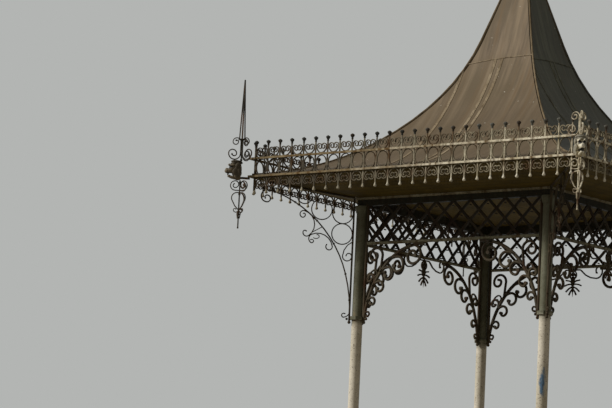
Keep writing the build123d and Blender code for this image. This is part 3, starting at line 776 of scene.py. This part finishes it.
# Each point of the casting gets the painted shade of the recesses it lies in.
shade_mark = one.verts.layers.float.new("shade_mark")
hollows = with_pairs(MIDDLE_SHADE_SPOTS, PAIRED_SHADE_SPOTS)
for vert in one.verts:
    for middle, size, darkness in hollows:
        away = sqrt(sum(((c - m) / r) ** 2 for c, m, r in zip(vert.co, middle, size)))
        vert[shade_mark] = max(vert[shade_mark], darkness * min(1.0, max(0.0, (1.3 - away) / 0.35)))
heads = copies(one, [corner_place(angle, STANDARD_T) for angle in CORNERS.values()])
piece(heads, "animal_head_castings", head_iron, replaced=["animal_heads"], sharp=70)

# ---- Roof: a few thin seams up each face, a lap across it, and round caps on the hips
LAP = RAIL + 1790
SEAM_LINES = (-580, -85, 20)
# Ends of the lap's bars, across the face and over the rail. There the face leans in by this much for
# its height, and lies this far out.
LAP_BARS = (((-519, 1748), (-150, 1786)), ((-160, 1784), (140, 1800)), ((130, 1796), (506, 1806)))
LAP_LEAN, LAP_OUT = 0.41, 513


def up_roof(bm, lift, wide, deep, sides, step):
    """Bar along the roof line from the eave to the top, in the plane across one side."""
    bar(bm, (EAVE_HALF, ROOF_EDGE + lift), 180 - ROOF_LEAN, ROOF_LINE, wide, deep, sides, step)


seam = bmesh.new()
up_roof(seam, 1.5, 8, 42, 4, 2.5)
hips_and_lap = [((0, 0, 0), (-1, 1, 0)), ((0, 0, 0), (-1, -1, 0)), ((0, 0, LAP), (0, 0, 1))]
lean = Matrix.Identity(4)
lean[1][2] = LAP_LEAN
lean[1][3] = -LAP_LEAN * (RAIL + 1780)
for side, angle in SIDES.items():
    # The seams and lap on the back and right faces take the darker paint: painted shade.
    paint = seam_paint if side in ("front", "left") else painted_shade_seam_paint
    seams = bmesh.new()
    for across in SEAM_LINES:
        one = seam.copy()
        one.transform(Matrix.Translation((0, across, 0)))
        cut(one, hips_and_lap)
        add(seams, one)
        one.free()
    piece(seams, f"{side}_roof_seams", paint, yaw(angle - 90))
    lap = bmesh.new()
    for start, end in LAP_BARS:
        straight(lap, start, end, 11, 10, 4)
    lap.transform(lean @ Matrix.Translation((0, 0, RAIL)))
    piece(lap, f"{side}_roof_lap", paint, side_place(angle, LAP_OUT))
seam.free()
hip = bmesh.new()
up_roof(hip, -2, 30, 24, 10, 4)
rolls = copies(hip, [yaw(angle) @ Matrix.Diagonal((sqrt(2), 1, 1, 1)) for angle in CORNERS.values()])
piece(rolls, "hip_roll_caps", hip_paint, replaced=["hip_rolls"])

# ---- Beams: a moulding and a bead under it along the top of each outer face. Low and high are over the
# rail, and proud is how far out from the beam.
MOULDINGS = ((-214, -192, 16), (-224, -214, 7))
for side, angle in SIDES.items():
    trim = bmesh.new()
    for low, high, proud in MOULDINGS:
        place = Matrix.Translation((0, -BEAM_OUT - proud / 2, RAIL + (low + high) / 2))
        size = Matrix.Diagonal((2 * (BEAM_OUT + proud), proud, high - low, 1))
        made = bmesh.ops.create_cube(trim, size=1.0, matrix=place @ size)
        edges = list({e for v in made["verts"] for e in v.link_edges})
        bmesh.ops.bevel(trim, geom=edges, offset=4, segments=2, profile=0.5, affect="EDGES", material=-1)
    cut(trim, [((0, 0, 0), (1, 1, 0)), ((0, 0, 0), (-1, 1, 0))])
    piece(trim, f"{side}_beam_moulding", moulding_paint, yaw(angle))


# ---- Stage, light and camera
def seen_rays(tree):
    """Open for the rays that show the stage: to the eye, in gloss and through glass."""
    ray = node(tree, "LightPath").outputs
    some = node(tree, "Math", {0: ray["Is Camera Ray"], 1: ray["Is Glossy Ray"]}, operation="ADD")
    return node(tree, "Math", {0: some.outputs[0], 1: ray["Is Transmission Ray"]}, operation="ADD",
                use_clamp=True).outputs[0]


# Paper that looks pale and sends up the warm light of dry ground
FLOOR_SEEN, FLOOR_LIGHT, FLOOR_R = "#d4d5d6", "#7a6d50", 13.0
disc = bmesh.new()
bmesh.ops.create_circle(disc, cap_ends=True, segments=96, radius=FLOOR_R)
floor_mesh = bpy.data.meshes.new("floor")
disc.to_mesh(floor_mesh)
disc.free()
floor_material, tree, shader, place = new_material("floor_paper")
paper = coats(tree, linear(FLOOR_LIGHT), (seen_rays(tree), linear(FLOOR_SEEN)))
tree.links.new(paper, shader.inputs["Base Color"])
shader.inputs["Roughness"].default_value = 0.9
floor_mesh.materials.append(floor_material)
floor = bpy.data.objects.new("floor", floor_mesh)
floor.location = (0, 0, -0.002)
bpy.context.scene.collection.objects.link(floor)

# Flat grey sky, with a weaker soft light than its look
SKY_SEEN, SKY_LIGHT, SKY_STRENGTH = "#b3b5b3", "#f1efea", 0.27
world = bpy.data.worlds.new("studio")
bpy.context.scene.world = world
world.use_nodes = True
tree = world.node_tree
tree.nodes.clear()
soft = node(tree, "Background", {"Color": linear(SKY_LIGHT), "Strength": SKY_STRENGTH})
seen = node(tree, "Background", {"Color": linear(SKY_SEEN), "Strength": 1.0})
shown = node(tree, "MixShader", {"Fac": seen_rays(tree), 1: soft.outputs[0], 2: seen.outputs[0]})
node(tree, "OutputWorld", {"Surface": shown.outputs[0]})

# Sun through thin haze, from the left of the camera
SUN_WAY = Vector((0.635, 0.613, -0.469))
sun = bpy.data.lights.new("key", "SUN")
sun.energy = 3.1
sun.angle = radians(6)
lamp = bpy.data.objects.new("key", sun)
lamp.rotation_mode = "QUATERNION"
lamp.rotation_quaternion = SUN_WAY.to_track_quat("-Z", "Y")
bpy.context.scene.collection.objects.link(lamp)

# Camera, as fitted to the photo: focal length in pixels, distance from the middle of the bandstand,
# shift to the right and height in metres
IMAGE_W, SENSOR_W = 612, 36.0
FOCAL, DISTANCE, ASIDE, HEIGHT = 2900.9, 38.976, -2.853, -1.075
YAW, PITCH, ROLL = radians(-37.8117), radians(8.0379), radians(2.7807)
ahead = Vector((sin(YAW), cos(YAW), 0))
right = Vector((cos(YAW), -sin(YAW), 0))
gaze = ahead * cos(PITCH) + Vector((0, 0, sin(PITCH)))
above = right.cross(gaze)
lens = bpy.data.cameras.new("camera")
lens.sensor_width = SENSOR_W
lens.lens = FOCAL / IMAGE_W * SENSOR_W
lens.clip_end = 500.0
camera = bpy.data.objects.new("camera", lens)
axes = (right * cos(ROLL) + above * sin(ROLL), above * cos(ROLL) - right * sin(ROLL), -gaze)
spot = -DISTANCE * ahead + ASIDE * right + Vector((0, 0, HEIGHT))
camera.matrix_world = Matrix([[axis[r] for axis in axes] + [spot[r]] for r in range(3)] + [[0, 0, 0, 1]])
bpy.context.scene.collection.objects.link(camera)
bpy.context.scene.camera = camera
bpy.context.scene.view_settings.view_transform = "Standard"
